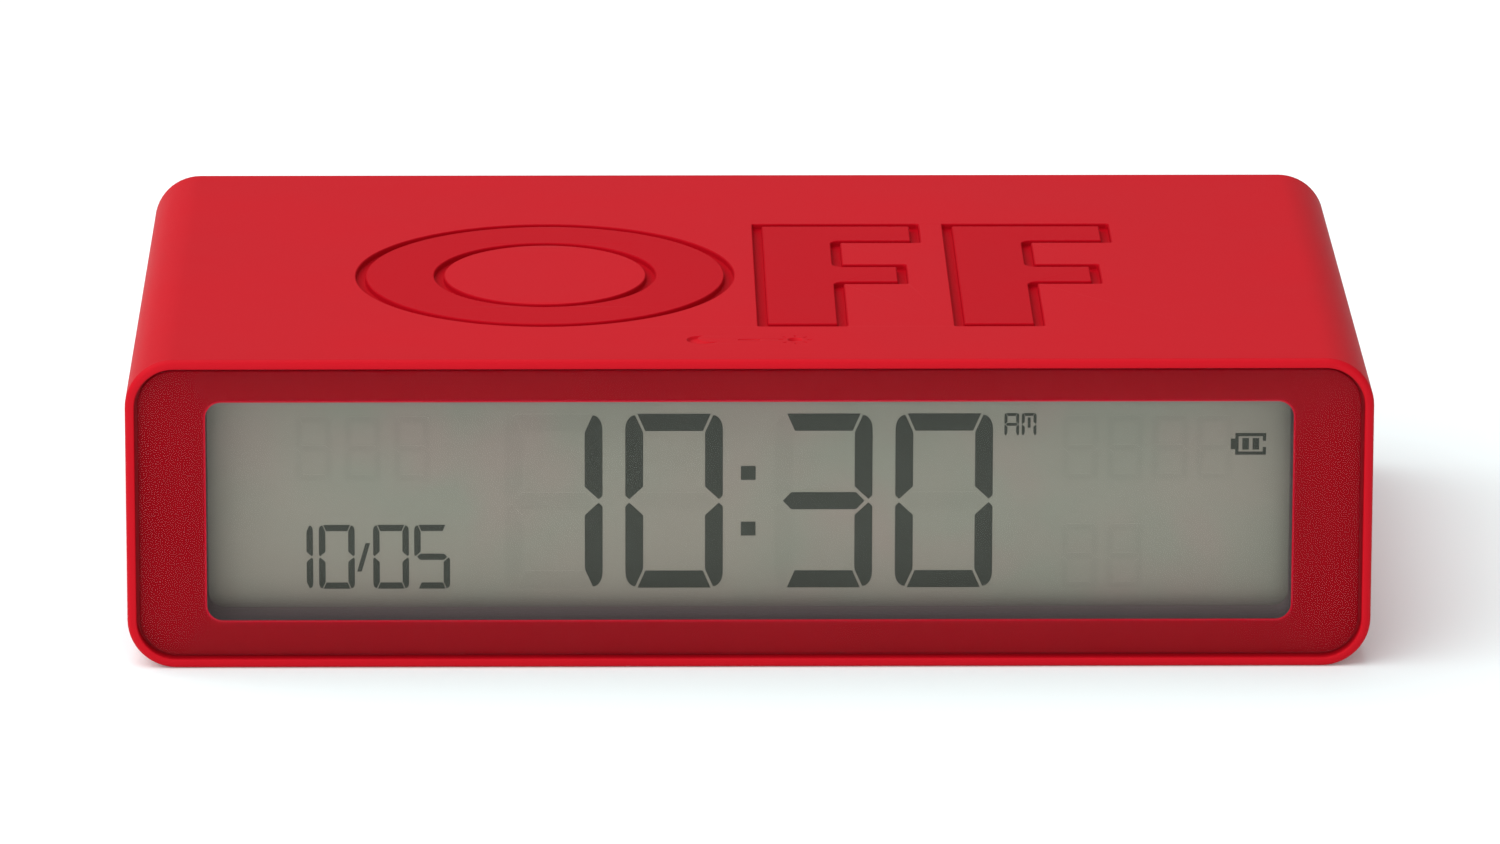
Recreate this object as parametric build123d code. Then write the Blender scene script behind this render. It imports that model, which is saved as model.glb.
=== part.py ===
from build123d import *
import os
from math import cos, pi, radians, sin, tan

# Travel alarm clock: a flat block with a display at the front, which lies on either broad face.
# Millimetres. +X is right for someone facing the display, -Y points at that person, +Z is up.
# The origin is the centre of the underside.

# Driving dimensions
WIDTH = 86.0
DEPTH = 54.0
HEIGHT = 22.0
CORNER_RADIUS = 3.4
LIP_FILLET = 0.4
SLEEVE_WALL = 0.65
CASING_WALL = 1.2
FACE_RECESS = 0.25
EDGE_GAP = 0.2
LENS_THICKNESS = 0.6
MASK_THICKNESS = 0.1
TAPE_THICKNESS = 0.15
WINDOW_WIDTH = 75.0
WINDOW_HEIGHT = 15.6
WINDOW_RADIUS = 1.1
COVER_THICKNESS = 1.25
BOARD_THICKNESS = 1.0
CELL_DIAMETER = 10.5
CELL_LENGTH = 44.5
LEGEND_HEIGHT = 29.6
LEGEND_STROKE = 6.4
LEGEND_GROOVE = 0.86
LEGEND_DEPTH = 0.42
LEGEND_Y = -3.0
BUTTON_DIAMETER = 5.0
TILT_TRAVEL = 1.6

# Stations that follow from them
MID_Z = HEIGHT / 2
FRONT = -DEPTH / 2
BACK = DEPTH / 2
CASING_WIDTH = WIDTH - 2 * SLEEVE_WALL
CASING_HEIGHT = HEIGHT - 2 * SLEEVE_WALL
CASING_RADIUS = CORNER_RADIUS - SLEEVE_WALL
ROOM_WIDTH = CASING_WIDTH - 2 * CASING_WALL
ROOM_HEIGHT = CASING_HEIGHT - 2 * CASING_WALL
ROOM_RADIUS = CASING_RADIUS - CASING_WALL
ROOM_RIGHT = ROOM_WIDTH / 2
ROOM_FLOOR = MID_Z - ROOM_HEIGHT / 2
ROOM_CEILING = MID_Z + ROOM_HEIGHT / 2
FACE_WIDTH = CASING_WIDTH - 2 * EDGE_GAP
FACE_HEIGHT = CASING_HEIGHT - 2 * EDGE_GAP
FACE_RADIUS = CASING_RADIUS - EDGE_GAP
LENS_FRONT = FRONT + FACE_RECESS
LENS_BACK = LENS_FRONT + LENS_THICKNESS
MASK_BACK = LENS_BACK + MASK_THICKNESS
CASING_FRONT = MASK_BACK + TAPE_THICKNESS
ROOM_FRONT = CASING_FRONT + CASING_WALL
COVER_BACK = BACK - FACE_RECESS
CASING_BACK = COVER_BACK - COVER_THICKNESS

# Display stack behind the window
LCD_FRONT = ROOM_FRONT + 1.95
GASKET_WIDTH = WINDOW_WIDTH + 2.2
GASKET_HEIGHT = WINDOW_HEIGHT + 0.8
POLARISER_THICKNESS = 0.2
LCD_GLASS_FRONT = LCD_FRONT + POLARISER_THICKNESS
LCD_GLASS_BACK = LCD_GLASS_FRONT + 1.4
LCD_BACK = LCD_GLASS_BACK + POLARISER_THICKNESS
LCD_WIDTH = 80.0
LCD_HEIGHT = 16.4
LCD_ACTIVE_WIDTH = 79.0
LCD_ACTIVE_HEIGHT = 16.2
FRAME_WIDTH = 81.4
FRAME_HEIGHT = 17.4
FRAME_BACK = LCD_BACK + 4.4
GUIDE_THICKNESS = 1.6
GUIDE_HALF_WIDTH = 37.7
GUIDE_HEIGHT = 15.2
ZEBRA_X = 38.9
ZEBRA_WIDTH = 1.4
ZEBRA_HEIGHT = 14.0
BOARD_FRONT = FRAME_BACK + 0.5
BOARD_BACK = BOARD_FRONT + BOARD_THICKNESS
BOARD_WIDTH = 79.0
BOARD_HEIGHT = 16.8
BOARD_SCREW_X = 30.0
BOARD_SCREW_DZ = 6.0

# Battery bay and its door
BAY_HALF_WIDTH = 25.3
BAY_WALL = 1.0
BAY_FRONT = 12.6
BAY_BACK = CASING_BACK - 0.1
BAY_HALF_HEIGHT = 6.6
CELL_Y = 19.3
CELL_BASE_X = -21.35
NUB_LENGTH = 0.8
NUB_RADIUS = 1.9
CONTACT_THICKNESS = 0.4
DOOR_HALF_WIDTH = 24.9
DOOR_BOTTOM = 4.75
DOOR_TOP = 17.35
DOOR_GAP = 0.2
LUG_X = 27.0
LUG_Z = 5.4

# Buttons and their boards
BUTTON_XS = {"minus": -36.5, "plus": -30.0, "alarm": 30.0, "set": 36.5}
FLANGE_RADIUS = 3.0
SWITCH_SIDE = 4.5
SIDE_BOARD_FRONT = 18.8
SIDE_BOARD_BACK = SIDE_BOARD_FRONT + BOARD_THICKNESS
SIDE_BOARD_INNER = 27.2
SIDE_BOARD_OUTER = 40.6
SWITCH_BACK = SIDE_BOARD_BACK + 2.2
PLUNGER_BACK = 23.9
CORNER_SCREW_X = 38.6
CORNER_SCREW_DZ = 6.6
BOSS_SIDE = 4.3

# Pieces on the main board
TILT_X = 13.0
TILT_CASE = (5.0, 4.2, 5.6)
TILT_BORE_RADIUS = 1.25
BALL_RADIUS = 1.2
BUZZER_X = -14.0
BUZZER_RADIUS = 6.5
BUZZER_DEPTH = 3.5

SMALL_SCREW = {"shaft": 0.68, "pilot": 0.7, "pass": 0.8, "head": 1.4, "head_height": 0.9}
COVER_SCREW = {"shaft": 0.9, "pilot": 0.93, "pass": 1.2, "head": 1.7, "head_height": 0.7}


def facing(x, y, z):
    """A plane whose normal points to the back, with its own X along +X."""
    return Plane(origin=(x, y, z), x_dir=(1, 0, 0), z_dir=(0, 1, 0))


def plate(width, height, radius, front, back, x=0.0, z=MID_Z):
    """A rounded plate that faces the front, between two Y stations."""
    return extrude(facing(x, front, z) * RectangleRounded(width, height, radius), back - front)


def rod(radius, front, back, x, z):
    """A round bar along Y, between two Y stations."""
    return extrude(facing(x, front, z) * Circle(radius), back - front)


def block(xs, ys, zs):
    """A box between pairs of X, Y and Z stations."""
    size = [high - low for low, high in (xs, ys, zs)]
    centre = [(high + low) / 2 for low, high in (xs, ys, zs)]
    return Pos(*centre) * Box(*size)


def mirror_x(shape):
    return mirror(shape, about=Plane.YZ)


def group(solids):
    """Several equal pieces as one node of separate solids."""
    return Compound(children=[solid for shape in solids for solid in shape.solids()])


def wire(points, radius):
    """A round lead: straight runs joined by arcs as large as the runs allow."""
    corners = [Vector(*point) for point in points]
    radii = []
    for before, here, after in zip(corners, corners[1:], corners[2:]):
        run_in, run_out = here - before, after - here
        half_turn = radians(run_in.get_angle(run_out)) / 2
        radii.append(0.45 * min(run_in.length, run_out.length) / tan(half_turn))
    path = FilletPolyline(*corners, radius=radii)
    start = Plane(origin=path @ 0, z_dir=path % 0)
    return sweep(start * Circle(radius), path=path)


# Sleeve and legends -----------------------------------------------------------------------------

def oval(x, inset):
    """The outline of a plain O, a little narrower than it is tall, pulled in by an inset."""
    return Pos(x, 0) * Ellipse(LEGEND_HEIGHT * 0.455 - inset, LEGEND_HEIGHT / 2 - inset)


def round_letter(x):
    """The groove inside both edges of an O centred at x."""
    inner_edge = oval(x, LEGEND_STROKE - LEGEND_GROOVE) - oval(x, LEGEND_STROKE)
    return [oval(x, 0) - oval(x, LEGEND_GROOVE), inner_edge]


def letter_f(x):
    """A plain capital F of one stroke width, with its left edge at x."""
    half, width, arm = LEGEND_HEIGHT / 2, LEGEND_STROKE * 1.9, LEGEND_STROKE * 0.9
    shape = Pos(x + LEGEND_STROKE / 2, 0) * Rectangle(LEGEND_STROKE, 2 * half)
    shape += Pos(x + width / 2, half - arm / 2) * Rectangle(width, arm)
    shape += Pos(x + width * 0.45, 0) * Rectangle(width * 0.9, arm)
    return shape


def letter_n(x):
    """A plain capital N of one stroke width, with its left edge at x."""
    half, width, stroke = LEGEND_HEIGHT / 2, LEGEND_STROKE * 4.0, LEGEND_STROKE
    shape = Pos(x + stroke / 2, 0) * Rectangle(stroke, 2 * half)
    shape += Pos(x + width - stroke / 2, 0) * Rectangle(stroke, 2 * half)
    foot = stroke * 1.2
    shape += make_face(Polyline(
        (x, half), (x + foot, half), (x + width, -half), (x + width - foot, -half), close=True))
    return shape


def straight_letter(sketch):
    """The groove inside every edge of a straight-sided letter."""
    return [sketch - offset(sketch, -LEGEND_GROOVE, kind=Kind.INTERSECTION)]


def legend(grooves):
    """The tools that sink grooves into the top face."""
    return [extrude(Plane(origin=(0, LEGEND_Y, HEIGHT)) * groove, -LEGEND_DEPTH) for groove in grooves]


def moon_and_lamp():
    """Two small symbols by the front edge: a crescent for snooze and a rayed disc for the light."""
    moon = Circle(1.15) - Pos(0.65, 0.35) * Circle(0.95)
    lamp = Sketch() + Circle(0.55)
    for ray in PolarLocations(1.05, 8):
        lamp += ray * Rectangle(0.5, 0.22)
    pair = Pos(-3.2, 0) * moon + Pos(3.2, 0) * lamp + Rectangle(1.6, 0.3)
    return extrude(Plane(origin=(0, FRONT + 5.6, HEIGHT)) * pair, -0.2)


def turned_over(shape):
    """The place a shape on the top face takes when the clock is turned over sideways."""
    return Pos(0, 0, HEIGHT) * Rot(0, 180, 0) * shape


def make_outer_sleeve():
    body = plate(WIDTH, HEIGHT, CORNER_RADIUS, FRONT, BACK)
    ends = body.faces().sort_by(Axis.Y)
    body = fillet(ends[0].edges() + ends[-1].edges(), LIP_FILLET)
    body -= plate(CASING_WIDTH, CASING_HEIGHT, CASING_RADIUS, FRONT, BACK)
    off = legend(round_letter(-14.2) + straight_letter(letter_f(0.6)) + straight_letter(letter_f(14.3)))
    on = legend(round_letter(-15.2) + straight_letter(letter_n(1.6)))
    for tool in off + [moon_and_lamp()] + [turned_over(shape) for shape in on + [moon_and_lamp()]]:
        body -= tool
    return body


# Casing and window ------------------------------------------------------------------------------

def corner_places():
    """The four corner screws of the rear cover, as X and Z."""
    return [(x, MID_Z + dz)
            for x in (-CORNER_SCREW_X, CORNER_SCREW_X)
            for dz in (-CORNER_SCREW_DZ, CORNER_SCREW_DZ)]


def make_casing():
    shell = plate(CASING_WIDTH, CASING_HEIGHT, CASING_RADIUS, CASING_FRONT, CASING_BACK)
    shell -= plate(ROOM_WIDTH, ROOM_HEIGHT, ROOM_RADIUS, ROOM_FRONT, CASING_BACK)
    shell -= plate(WINDOW_WIDTH + 2.4, WINDOW_HEIGHT + 1.4, WINDOW_RADIUS, CASING_FRONT, ROOM_FRONT)
    inner = ROOM_RIGHT - BOSS_SIDE
    low, high = (ROOM_FLOOR, ROOM_FLOOR + BOSS_SIDE), (ROOM_CEILING - BOSS_SIDE, ROOM_CEILING)
    for zs in (low, high):
        boss = block((inner, ROOM_RIGHT), (SIDE_BOARD_BACK, CASING_BACK), zs)
        shell += boss + mirror_x(boss)
    for x, z in corner_places():
        shell -= rod(COVER_SCREW["pilot"], CASING_BACK - 2.9, CASING_BACK, x, z)
        shell -= rod(SMALL_SCREW["pilot"], SIDE_BOARD_BACK, SIDE_BOARD_BACK + 2.5, x, z)
    ridge = 0.3
    for z0, z1 in ((ROOM_FLOOR, ROOM_FLOOR + ridge), (ROOM_CEILING - ridge, ROOM_CEILING)):
        for x in (-15.0, 15.0):
            shell += block((x - 5, x + 5), (FRAME_BACK, FRAME_BACK + 0.4), (z0, z1))
    return shell


def make_front_lens():
    lens = plate(FACE_WIDTH, FACE_HEIGHT, FACE_RADIUS, LENS_FRONT, LENS_BACK)
    return chamfer(lens.faces().sort_by(Axis.Y)[0].edges(), 0.12)


def make_window_mask():
    film = plate(FACE_WIDTH, FACE_HEIGHT, FACE_RADIUS, LENS_BACK, MASK_BACK)
    return film - plate(WINDOW_WIDTH, WINDOW_HEIGHT, WINDOW_RADIUS, LENS_BACK, MASK_BACK)


def make_lens_tape():
    margin = 0.8
    tape = plate(FACE_WIDTH - margin, FACE_HEIGHT - margin, FACE_RADIUS - margin / 2, MASK_BACK, CASING_FRONT)
    return tape - plate(WINDOW_WIDTH + 2.4, WINDOW_HEIGHT + 1.4, WINDOW_RADIUS, MASK_BACK, CASING_FRONT)


# Display stack ----------------------------------------------------------------------------------

def make_display_gasket():
    """The foam frame round the window, which keeps dust off the display and hides its edge."""
    ring = plate(GASKET_WIDTH, GASKET_HEIGHT, WINDOW_RADIUS + 0.3, MASK_BACK, LCD_FRONT)
    return ring - plate(WINDOW_WIDTH, WINDOW_HEIGHT, WINDOW_RADIUS, MASK_BACK, LCD_FRONT)


def make_lcd_polariser():
    return plate(LCD_ACTIVE_WIDTH, LCD_ACTIVE_HEIGHT, 0.2, LCD_FRONT, LCD_GLASS_FRONT)


def make_lcd_glass():
    return plate(LCD_WIDTH, LCD_HEIGHT, 0.2, LCD_GLASS_FRONT, LCD_GLASS_BACK)


def make_lcd_reflector():
    return plate(2 * GUIDE_HALF_WIDTH, LCD_ACTIVE_HEIGHT - 0.6, 0.2, LCD_GLASS_BACK, LCD_BACK)


def make_display_frame():
    frame = plate(FRAME_WIDTH, FRAME_HEIGHT, 1.0, ROOM_FRONT, FRAME_BACK)
    frame -= plate(LCD_WIDTH + EDGE_GAP, LCD_HEIGHT + EDGE_GAP, 0.3, ROOM_FRONT, LCD_BACK)
    guide_back = LCD_BACK + GUIDE_THICKNESS + 0.1
    half_pocket = GUIDE_HEIGHT / 2 + 0.1
    pocket_zs = (MID_Z - half_pocket, MID_Z + half_pocket)
    pocket_half = GUIDE_HALF_WIDTH + 0.1
    frame -= block((-pocket_half, pocket_half), (LCD_BACK, guide_back), pocket_zs)
    frame -= plate(2 * pocket_half - 2.6, GUIDE_HEIGHT - 1.2, 0.5, guide_back + 1.1, FRAME_BACK)
    slot_half = ZEBRA_HEIGHT / 2 + 0.1
    slot = block((ZEBRA_X - ZEBRA_WIDTH / 2 - 0.1, ZEBRA_X + ZEBRA_WIDTH / 2 + 0.1),
                 (LCD_BACK, FRAME_BACK), (MID_Z - slot_half, MID_Z + slot_half))
    frame -= slot + mirror_x(slot)
    for x, z in board_screw_places():
        frame += rod(1.8, guide_back + 1.0, BOARD_FRONT, x, z)
        frame -= rod(SMALL_SCREW["pilot"], guide_back + 0.2, BOARD_FRONT, x, z)
    return frame


def make_light_guide():
    half = GUIDE_HEIGHT / 2
    return block((-GUIDE_HALF_WIDTH, GUIDE_HALF_WIDTH - 1.4), (LCD_BACK, LCD_BACK + GUIDE_THICKNESS),
                 (MID_Z - half, MID_Z + half))


def make_backlight_led():
    return block((GUIDE_HALF_WIDTH - 1.3, GUIDE_HALF_WIDTH), (LCD_BACK + 0.2, LCD_BACK + 1.4),
                 (MID_Z - 1.5, MID_Z + 1.5))


def make_zebra_strips():
    half_width, half_height = ZEBRA_WIDTH / 2, ZEBRA_HEIGHT / 2
    strip = block((ZEBRA_X - half_width, ZEBRA_X + half_width), (LCD_BACK, BOARD_FRONT),
                  (MID_Z - half_height, MID_Z + half_height))
    return group([strip, mirror_x(strip)])


# Main board and what it carries -----------------------------------------------------------------

def board_screw_places():
    return [(x, MID_Z + dz)
            for x in (-BOARD_SCREW_X, BOARD_SCREW_X)
            for dz in (-BOARD_SCREW_DZ, BOARD_SCREW_DZ)]


def make_main_board():
    board = plate(BOARD_WIDTH, BOARD_HEIGHT, 0.8, BOARD_FRONT, BOARD_BACK)
    for x, z in board_screw_places():
        board -= rod(SMALL_SCREW["pass"], BOARD_FRONT, BOARD_BACK, x, z)
    return board


def make_chip_blob():
    """The epoxy drop over the clock chip: a low cap of a sphere."""
    rise, radius = 1.3, 4.5
    sphere_radius = (radius**2 + rise**2) / (2 * rise)
    ball = Pos(3, BOARD_BACK + rise - sphere_radius, MID_Z) * Sphere(sphere_radius)
    return ball & block((-5, 11), (BOARD_BACK, BOARD_BACK + 2 * rise), (MID_Z - 8, MID_Z + 8))


def make_quartz_crystal():
    can = Pos(22, BOARD_BACK + 1.05, MID_Z - 4.5) * Rot(0, 90, 0) * Cylinder(1.0, 6.0)
    can = fillet(can.edges(), 0.25)
    leads = [Pos(18.2, BOARD_BACK + 1.05, MID_Z - 4.5 + dz) * Rot(0, 90, 0) * Cylinder(0.2, 1.6)
             for dz in (-0.5, 0.5)]
    return can + leads


def chips(places, size):
    """Small surface-mounted parts, at X and Z places on the board's rear face."""
    width, depth, height = size
    return group([
        block(
            (x - width / 2, x + width / 2),
            (BOARD_BACK, BOARD_BACK + depth),
            (z - height / 2, z + height / 2))
        for x, z in places])


def make_chip_capacitors():
    return chips([(9.0 + 2.6 * step, MID_Z + 5.6) for step in range(-5, 3)], (1.3, 0.8, 2.0))


def make_chip_resistors():
    return chips([(8.0 + 2.2 * step, MID_Z - 6.2) for step in range(-4, 4)], (1.0, 0.45, 1.6))


def make_tilt_case():
    width, depth, height = TILT_CASE
    case = block((TILT_X - width / 2, TILT_X + width / 2), (BOARD_BACK, BOARD_BACK + depth),
                 (MID_Z - height / 2, MID_Z + height / 2))
    return case - tilt_bore()


def tilt_bore():
    """The sealed well in which the ball drops from one end to the other."""
    length = 2 * BALL_RADIUS + TILT_TRAVEL
    return Pos(TILT_X, BOARD_BACK + TILT_CASE[1] / 2, MID_Z) * Cylinder(TILT_BORE_RADIUS, length)


def make_tilt_ball():
    return Pos(TILT_X, BOARD_BACK + TILT_CASE[1] / 2, MID_Z - TILT_TRAVEL / 2) * Sphere(BALL_RADIUS)


def make_buzzer_case():
    back = BOARD_BACK + BUZZER_DEPTH
    case = rod(BUZZER_RADIUS, BOARD_BACK, back, BUZZER_X, MID_Z)
    case = fillet(case.faces().sort_by(Axis.Y)[-1].edges(), 0.5)
    case -= rod(BUZZER_RADIUS - 0.8, BOARD_BACK + 0.8, back - 0.8, BUZZER_X, MID_Z)
    return case - rod(1.0, back - 1.0, back, BUZZER_X, MID_Z)


def make_piezo_disc():
    return rod(BUZZER_RADIUS - 0.85, BOARD_BACK + 1.6, BOARD_BACK + 1.9, BUZZER_X, MID_Z)


def make_touch_plate():
    """A copper plate glued under the top wall, which feels a finger through it."""
    return block((-22, 22), (-13, 10), (ROOM_CEILING - 0.2, ROOM_CEILING))


def make_touch_contacts():
    """Bent strips that join each touch plate to the board."""
    flat = block((16.5, 19.5), (BOARD_BACK, -12), (ROOM_CEILING - 0.4, ROOM_CEILING - 0.2))
    leg = block((16.5, 19.5), (BOARD_BACK, BOARD_BACK + 0.25), (ROOM_CEILING - 2.4, ROOM_CEILING - 0.2))
    strip = flat + leg
    return group([strip, turned_over(strip)])


# Rear cover, buttons and switches ---------------------------------------------------------------

def make_rear_cover():
    cover = plate(FACE_WIDTH, FACE_HEIGHT, FACE_RADIUS, CASING_BACK, COVER_BACK)
    cover = chamfer(cover.faces().sort_by(Axis.Y)[-1].edges(), 0.15)
    cover -= plate(2 * (DOOR_HALF_WIDTH + DOOR_GAP), DOOR_TOP - DOOR_BOTTOM + 2 * DOOR_GAP, 0.6,
                   CASING_BACK, COVER_BACK, z=(DOOR_TOP + DOOR_BOTTOM) / 2)
    for x in BUTTON_XS.values():
        cover -= rod(BUTTON_DIAMETER / 2 + 0.1, CASING_BACK, COVER_BACK, x, MID_Z)
    head_seat = COVER_BACK - 0.8
    for x, z in corner_places():
        cover -= rod(COVER_SCREW["pass"], CASING_BACK, COVER_BACK, x, z)
        cover -= rod(COVER_SCREW["head"] + 0.15, head_seat, COVER_BACK, x, z)
    for x in (-33.25, 33.25):
        for step in (-1, 0, 1):
            for dz in (-5.4, 5.4):
                cover -= rod(0.45, CASING_BACK, COVER_BACK, x + 1.6 * step, MID_Z + dz)
    rib_front = CASING_BACK - 1.6
    rib_depth = (rib_front, CASING_BACK)
    side_rib = block((ROOM_RIGHT - 1.0, ROOM_RIGHT - 0.2), rib_depth, (MID_Z - 3.5, MID_Z + 3.5))
    top_rib = block((-20, 20), rib_depth, (ROOM_CEILING - 1.0, ROOM_CEILING - 0.2))
    cover += side_rib + mirror_x(side_rib) + top_rib + turned_over(top_rib)
    for x in (-LUG_X, LUG_X):
        cover += rod(1.6, CASING_BACK - 2.5, CASING_BACK, x, LUG_Z)
        cover -= rod(SMALL_SCREW["pilot"], CASING_BACK - 2.5, CASING_BACK - 0.1, x, LUG_Z)
    return cover


def make_battery_bay():
    ends = (MID_Z - BAY_HALF_HEIGHT, MID_Z + BAY_HALF_HEIGHT)
    bay = block((-BAY_HALF_WIDTH, BAY_HALF_WIDTH), (BAY_FRONT, BAY_BACK), ends)
    inner = BAY_HALF_WIDTH - BAY_WALL
    inner_ends = (ends[0] + BAY_WALL, ends[1] - BAY_WALL)
    bay -= block((-inner, inner), (BAY_FRONT + BAY_WALL, BAY_BACK), inner_ends)
    for x in (-15, 15):
        bay -= block((x - 3.2, x + 3.2), (BAY_BACK - 1.9, BAY_BACK), (ends[0], ends[0] + BAY_WALL))
    slot = block((inner - CONTACT_THICKNESS - 0.05, inner), (BAY_FRONT, BAY_FRONT + BAY_WALL),
                 (MID_Z - 1.6, MID_Z + 1.6))
    bay -= slot + mirror_x(slot)
    lug_back = CASING_BACK - 2.5
    lug = block((BAY_HALF_WIDTH, LUG_X + 1.6), (lug_back - 1.2, lug_back), (LUG_Z - 1.0, LUG_Z + 1.6))
    lug -= rod(SMALL_SCREW["pass"], lug_back - 1.2, lug_back, LUG_X, LUG_Z)
    return bay + lug + mirror_x(lug)


def make_battery_door():
    door = plate(2 * DOOR_HALF_WIDTH, DOOR_TOP - DOOR_BOTTOM, 0.4, CASING_BACK, COVER_BACK,
                 z=(DOOR_TOP + DOOR_BOTTOM) / 2)
    for x in (-15, 15):
        tab = (x - 3, x + 3)
        tab_front = CASING_BACK - 1.1
        door += block(tab, (tab_front, CASING_BACK), (DOOR_BOTTOM + 0.05, DOOR_BOTTOM + 0.85))
        door += block(tab, (tab_front, CASING_BACK - 0.2), (DOOR_BOTTOM - 0.75, DOOR_BOTTOM + 0.85))
    for z in (MID_Z - 3.8, MID_Z + 3.8):
        door += block((-20, 20), (CASING_BACK - 0.5, CASING_BACK), (z - 0.4, z + 0.4))
    latch_half, slit = 4.0, 0.4
    for x in (-latch_half - slit, latch_half):
        door -= block((x, x + slit), (CASING_BACK, COVER_BACK), (DOOR_TOP - 3.6, DOOR_TOP))
    door += block((-3, 3), (CASING_BACK, CASING_BACK + 0.5), (DOOR_TOP, DOOR_TOP + 0.07))
    grip = Pos(0, COVER_BACK + 2.2, DOOR_TOP - 1.9) * Rot(0, 90, 0) * Cylinder(2.7, 2 * latch_half - 1.6)
    return door - grip


def button_mark(name):
    """The shallow symbol on each cap: bars for minus and plus, a dot in a ring, and a triangle."""
    if name == "alarm":
        return Circle(1.2) - Circle(0.85) + Circle(0.35)
    if name == "set":
        return RegularPolygon(1.2, 3)
    bar = Rectangle(2.4, 0.5)
    return bar + Rectangle(0.5, 2.4) if name == "plus" else bar


def make_button(name):
    x = BUTTON_XS[name]
    cap = rod(BUTTON_DIAMETER / 2, CASING_BACK - 0.2, BACK, x, MID_Z)
    cap = fillet(cap.faces().sort_by(Axis.Y)[-1].edges(), 0.3)
    cap -= extrude(facing(x, BACK - 0.15, MID_Z) * button_mark(name), 0.15)
    cap += rod(FLANGE_RADIUS, CASING_BACK - 0.8, CASING_BACK - 0.1, x, MID_Z)
    return cap + rod(1.3, PLUNGER_BACK, CASING_BACK - 0.8, x, MID_Z)


def make_plunger(name):
    return rod(1.0, SWITCH_BACK - 0.4, PLUNGER_BACK, BUTTON_XS[name], MID_Z)


def make_tact_switches():
    half = SWITCH_SIDE / 2
    switches = []
    for x in BUTTON_XS.values():
        body = block((x - half, x + half), (SIDE_BOARD_BACK, SWITCH_BACK), (MID_Z - half, MID_Z + half))
        switches.append(body - rod(1.05, SWITCH_BACK - 1.0, SWITCH_BACK, x, MID_Z))
    return group(switches)


def make_side_board():
    half = ROOM_HEIGHT / 2 - 0.4
    board = block((SIDE_BOARD_INNER, SIDE_BOARD_OUTER), (SIDE_BOARD_FRONT, SIDE_BOARD_BACK),
                  (MID_Z - half, MID_Z + half))
    board = fillet(board.edges().filter_by(Axis.Y), 1.0)
    for dz in (-CORNER_SCREW_DZ, CORNER_SCREW_DZ):
        board -= rod(SMALL_SCREW["pass"], SIDE_BOARD_FRONT, SIDE_BOARD_BACK, CORNER_SCREW_X, MID_Z + dz)
    return board


def make_ribbon():
    """The flat cable from the main board to a button board, in a shallow S."""
    route = FilletPolyline((33, BOARD_BACK), (33, -8), (36, 1), (33, 10), (33, SIDE_BOARD_FRONT), radius=9)
    flat = Pos(0, 0, MID_Z - 2) * trace(route, 0.5)
    return extrude(flat, 4, dir=(0, 0, 1))


# Cell and contacts ------------------------------------------------------------------------------

def make_cell():
    length = CELL_LENGTH - NUB_LENGTH
    can = Pos(CELL_BASE_X + length / 2, CELL_Y, MID_Z) * Rot(0, 90, 0) * Cylinder(CELL_DIAMETER / 2, length)
    return fillet(can.edges(), 0.5)


def make_cell_cap():
    x = CELL_BASE_X + CELL_LENGTH - NUB_LENGTH / 2
    cap = Pos(x, CELL_Y, MID_Z) * Rot(0, 90, 0) * Cylinder(NUB_RADIUS, NUB_LENGTH)
    return fillet(cap.faces().sort_by(Axis.X)[-1].edges(), 0.3)


def contact_blade(x):
    """The sprung sheet at one end of the bay, with its solder tab through the front wall."""
    xs = (x, x + CONTACT_THICKNESS)
    blade = block(xs, (BAY_FRONT + BAY_WALL, BAY_BACK - 1.2), (MID_Z - 4.6, MID_Z + 4.6))
    return blade + block(xs, (BAY_FRONT - 1.2, BAY_FRONT + BAY_WALL), (MID_Z - 1.5, MID_Z + 1.5))


def make_plus_contact():
    x = BAY_HALF_WIDTH - BAY_WALL - CONTACT_THICKNESS
    nub_end = CELL_BASE_X + CELL_LENGTH
    dimple = Pos((x + nub_end) / 2, CELL_Y, MID_Z) * Rot(0, -90, 0) * Cone(2.4, 1.2, x - nub_end)
    return contact_blade(x) + dimple


def make_spring_contact():
    """A blade with a conical coil of three turns, at the length to which the cell presses it."""
    x = -BAY_HALF_WIDTH + BAY_WALL
    wire_radius, turns, steps = 0.25, 3, 8
    wide, narrow = 3.5, 2.0
    first = x + CONTACT_THICKNESS + wire_radius - 0.1
    last = CELL_BASE_X - wire_radius
    points = []
    for step in range(turns * steps + 1):
        share = step / (turns * steps)
        radius = wide + (narrow - wide) * share
        angle = 2 * pi * step / steps
        points.append((
            first + (last - first) * share,
            CELL_Y + radius * cos(angle),
            MID_Z + radius * sin(angle)))
    return contact_blade(x) + wire(points, wire_radius)


def make_lead(side):
    """A stranded lead from a contact's tab to the main board."""
    x = side * (BAY_HALF_WIDTH - BAY_WALL - CONTACT_THICKNESS / 2)
    low = MID_Z - 4.0
    return wire([
        (x, BAY_FRONT - 1.2, MID_Z),
        (x, 6.0, MID_Z),
        (side * 27, 0.0, low + 1),
        (side * 26, -8.0, low),
        (side * 26, BOARD_BACK, low)], 0.55)


# Screws -----------------------------------------------------------------------------------------

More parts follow.
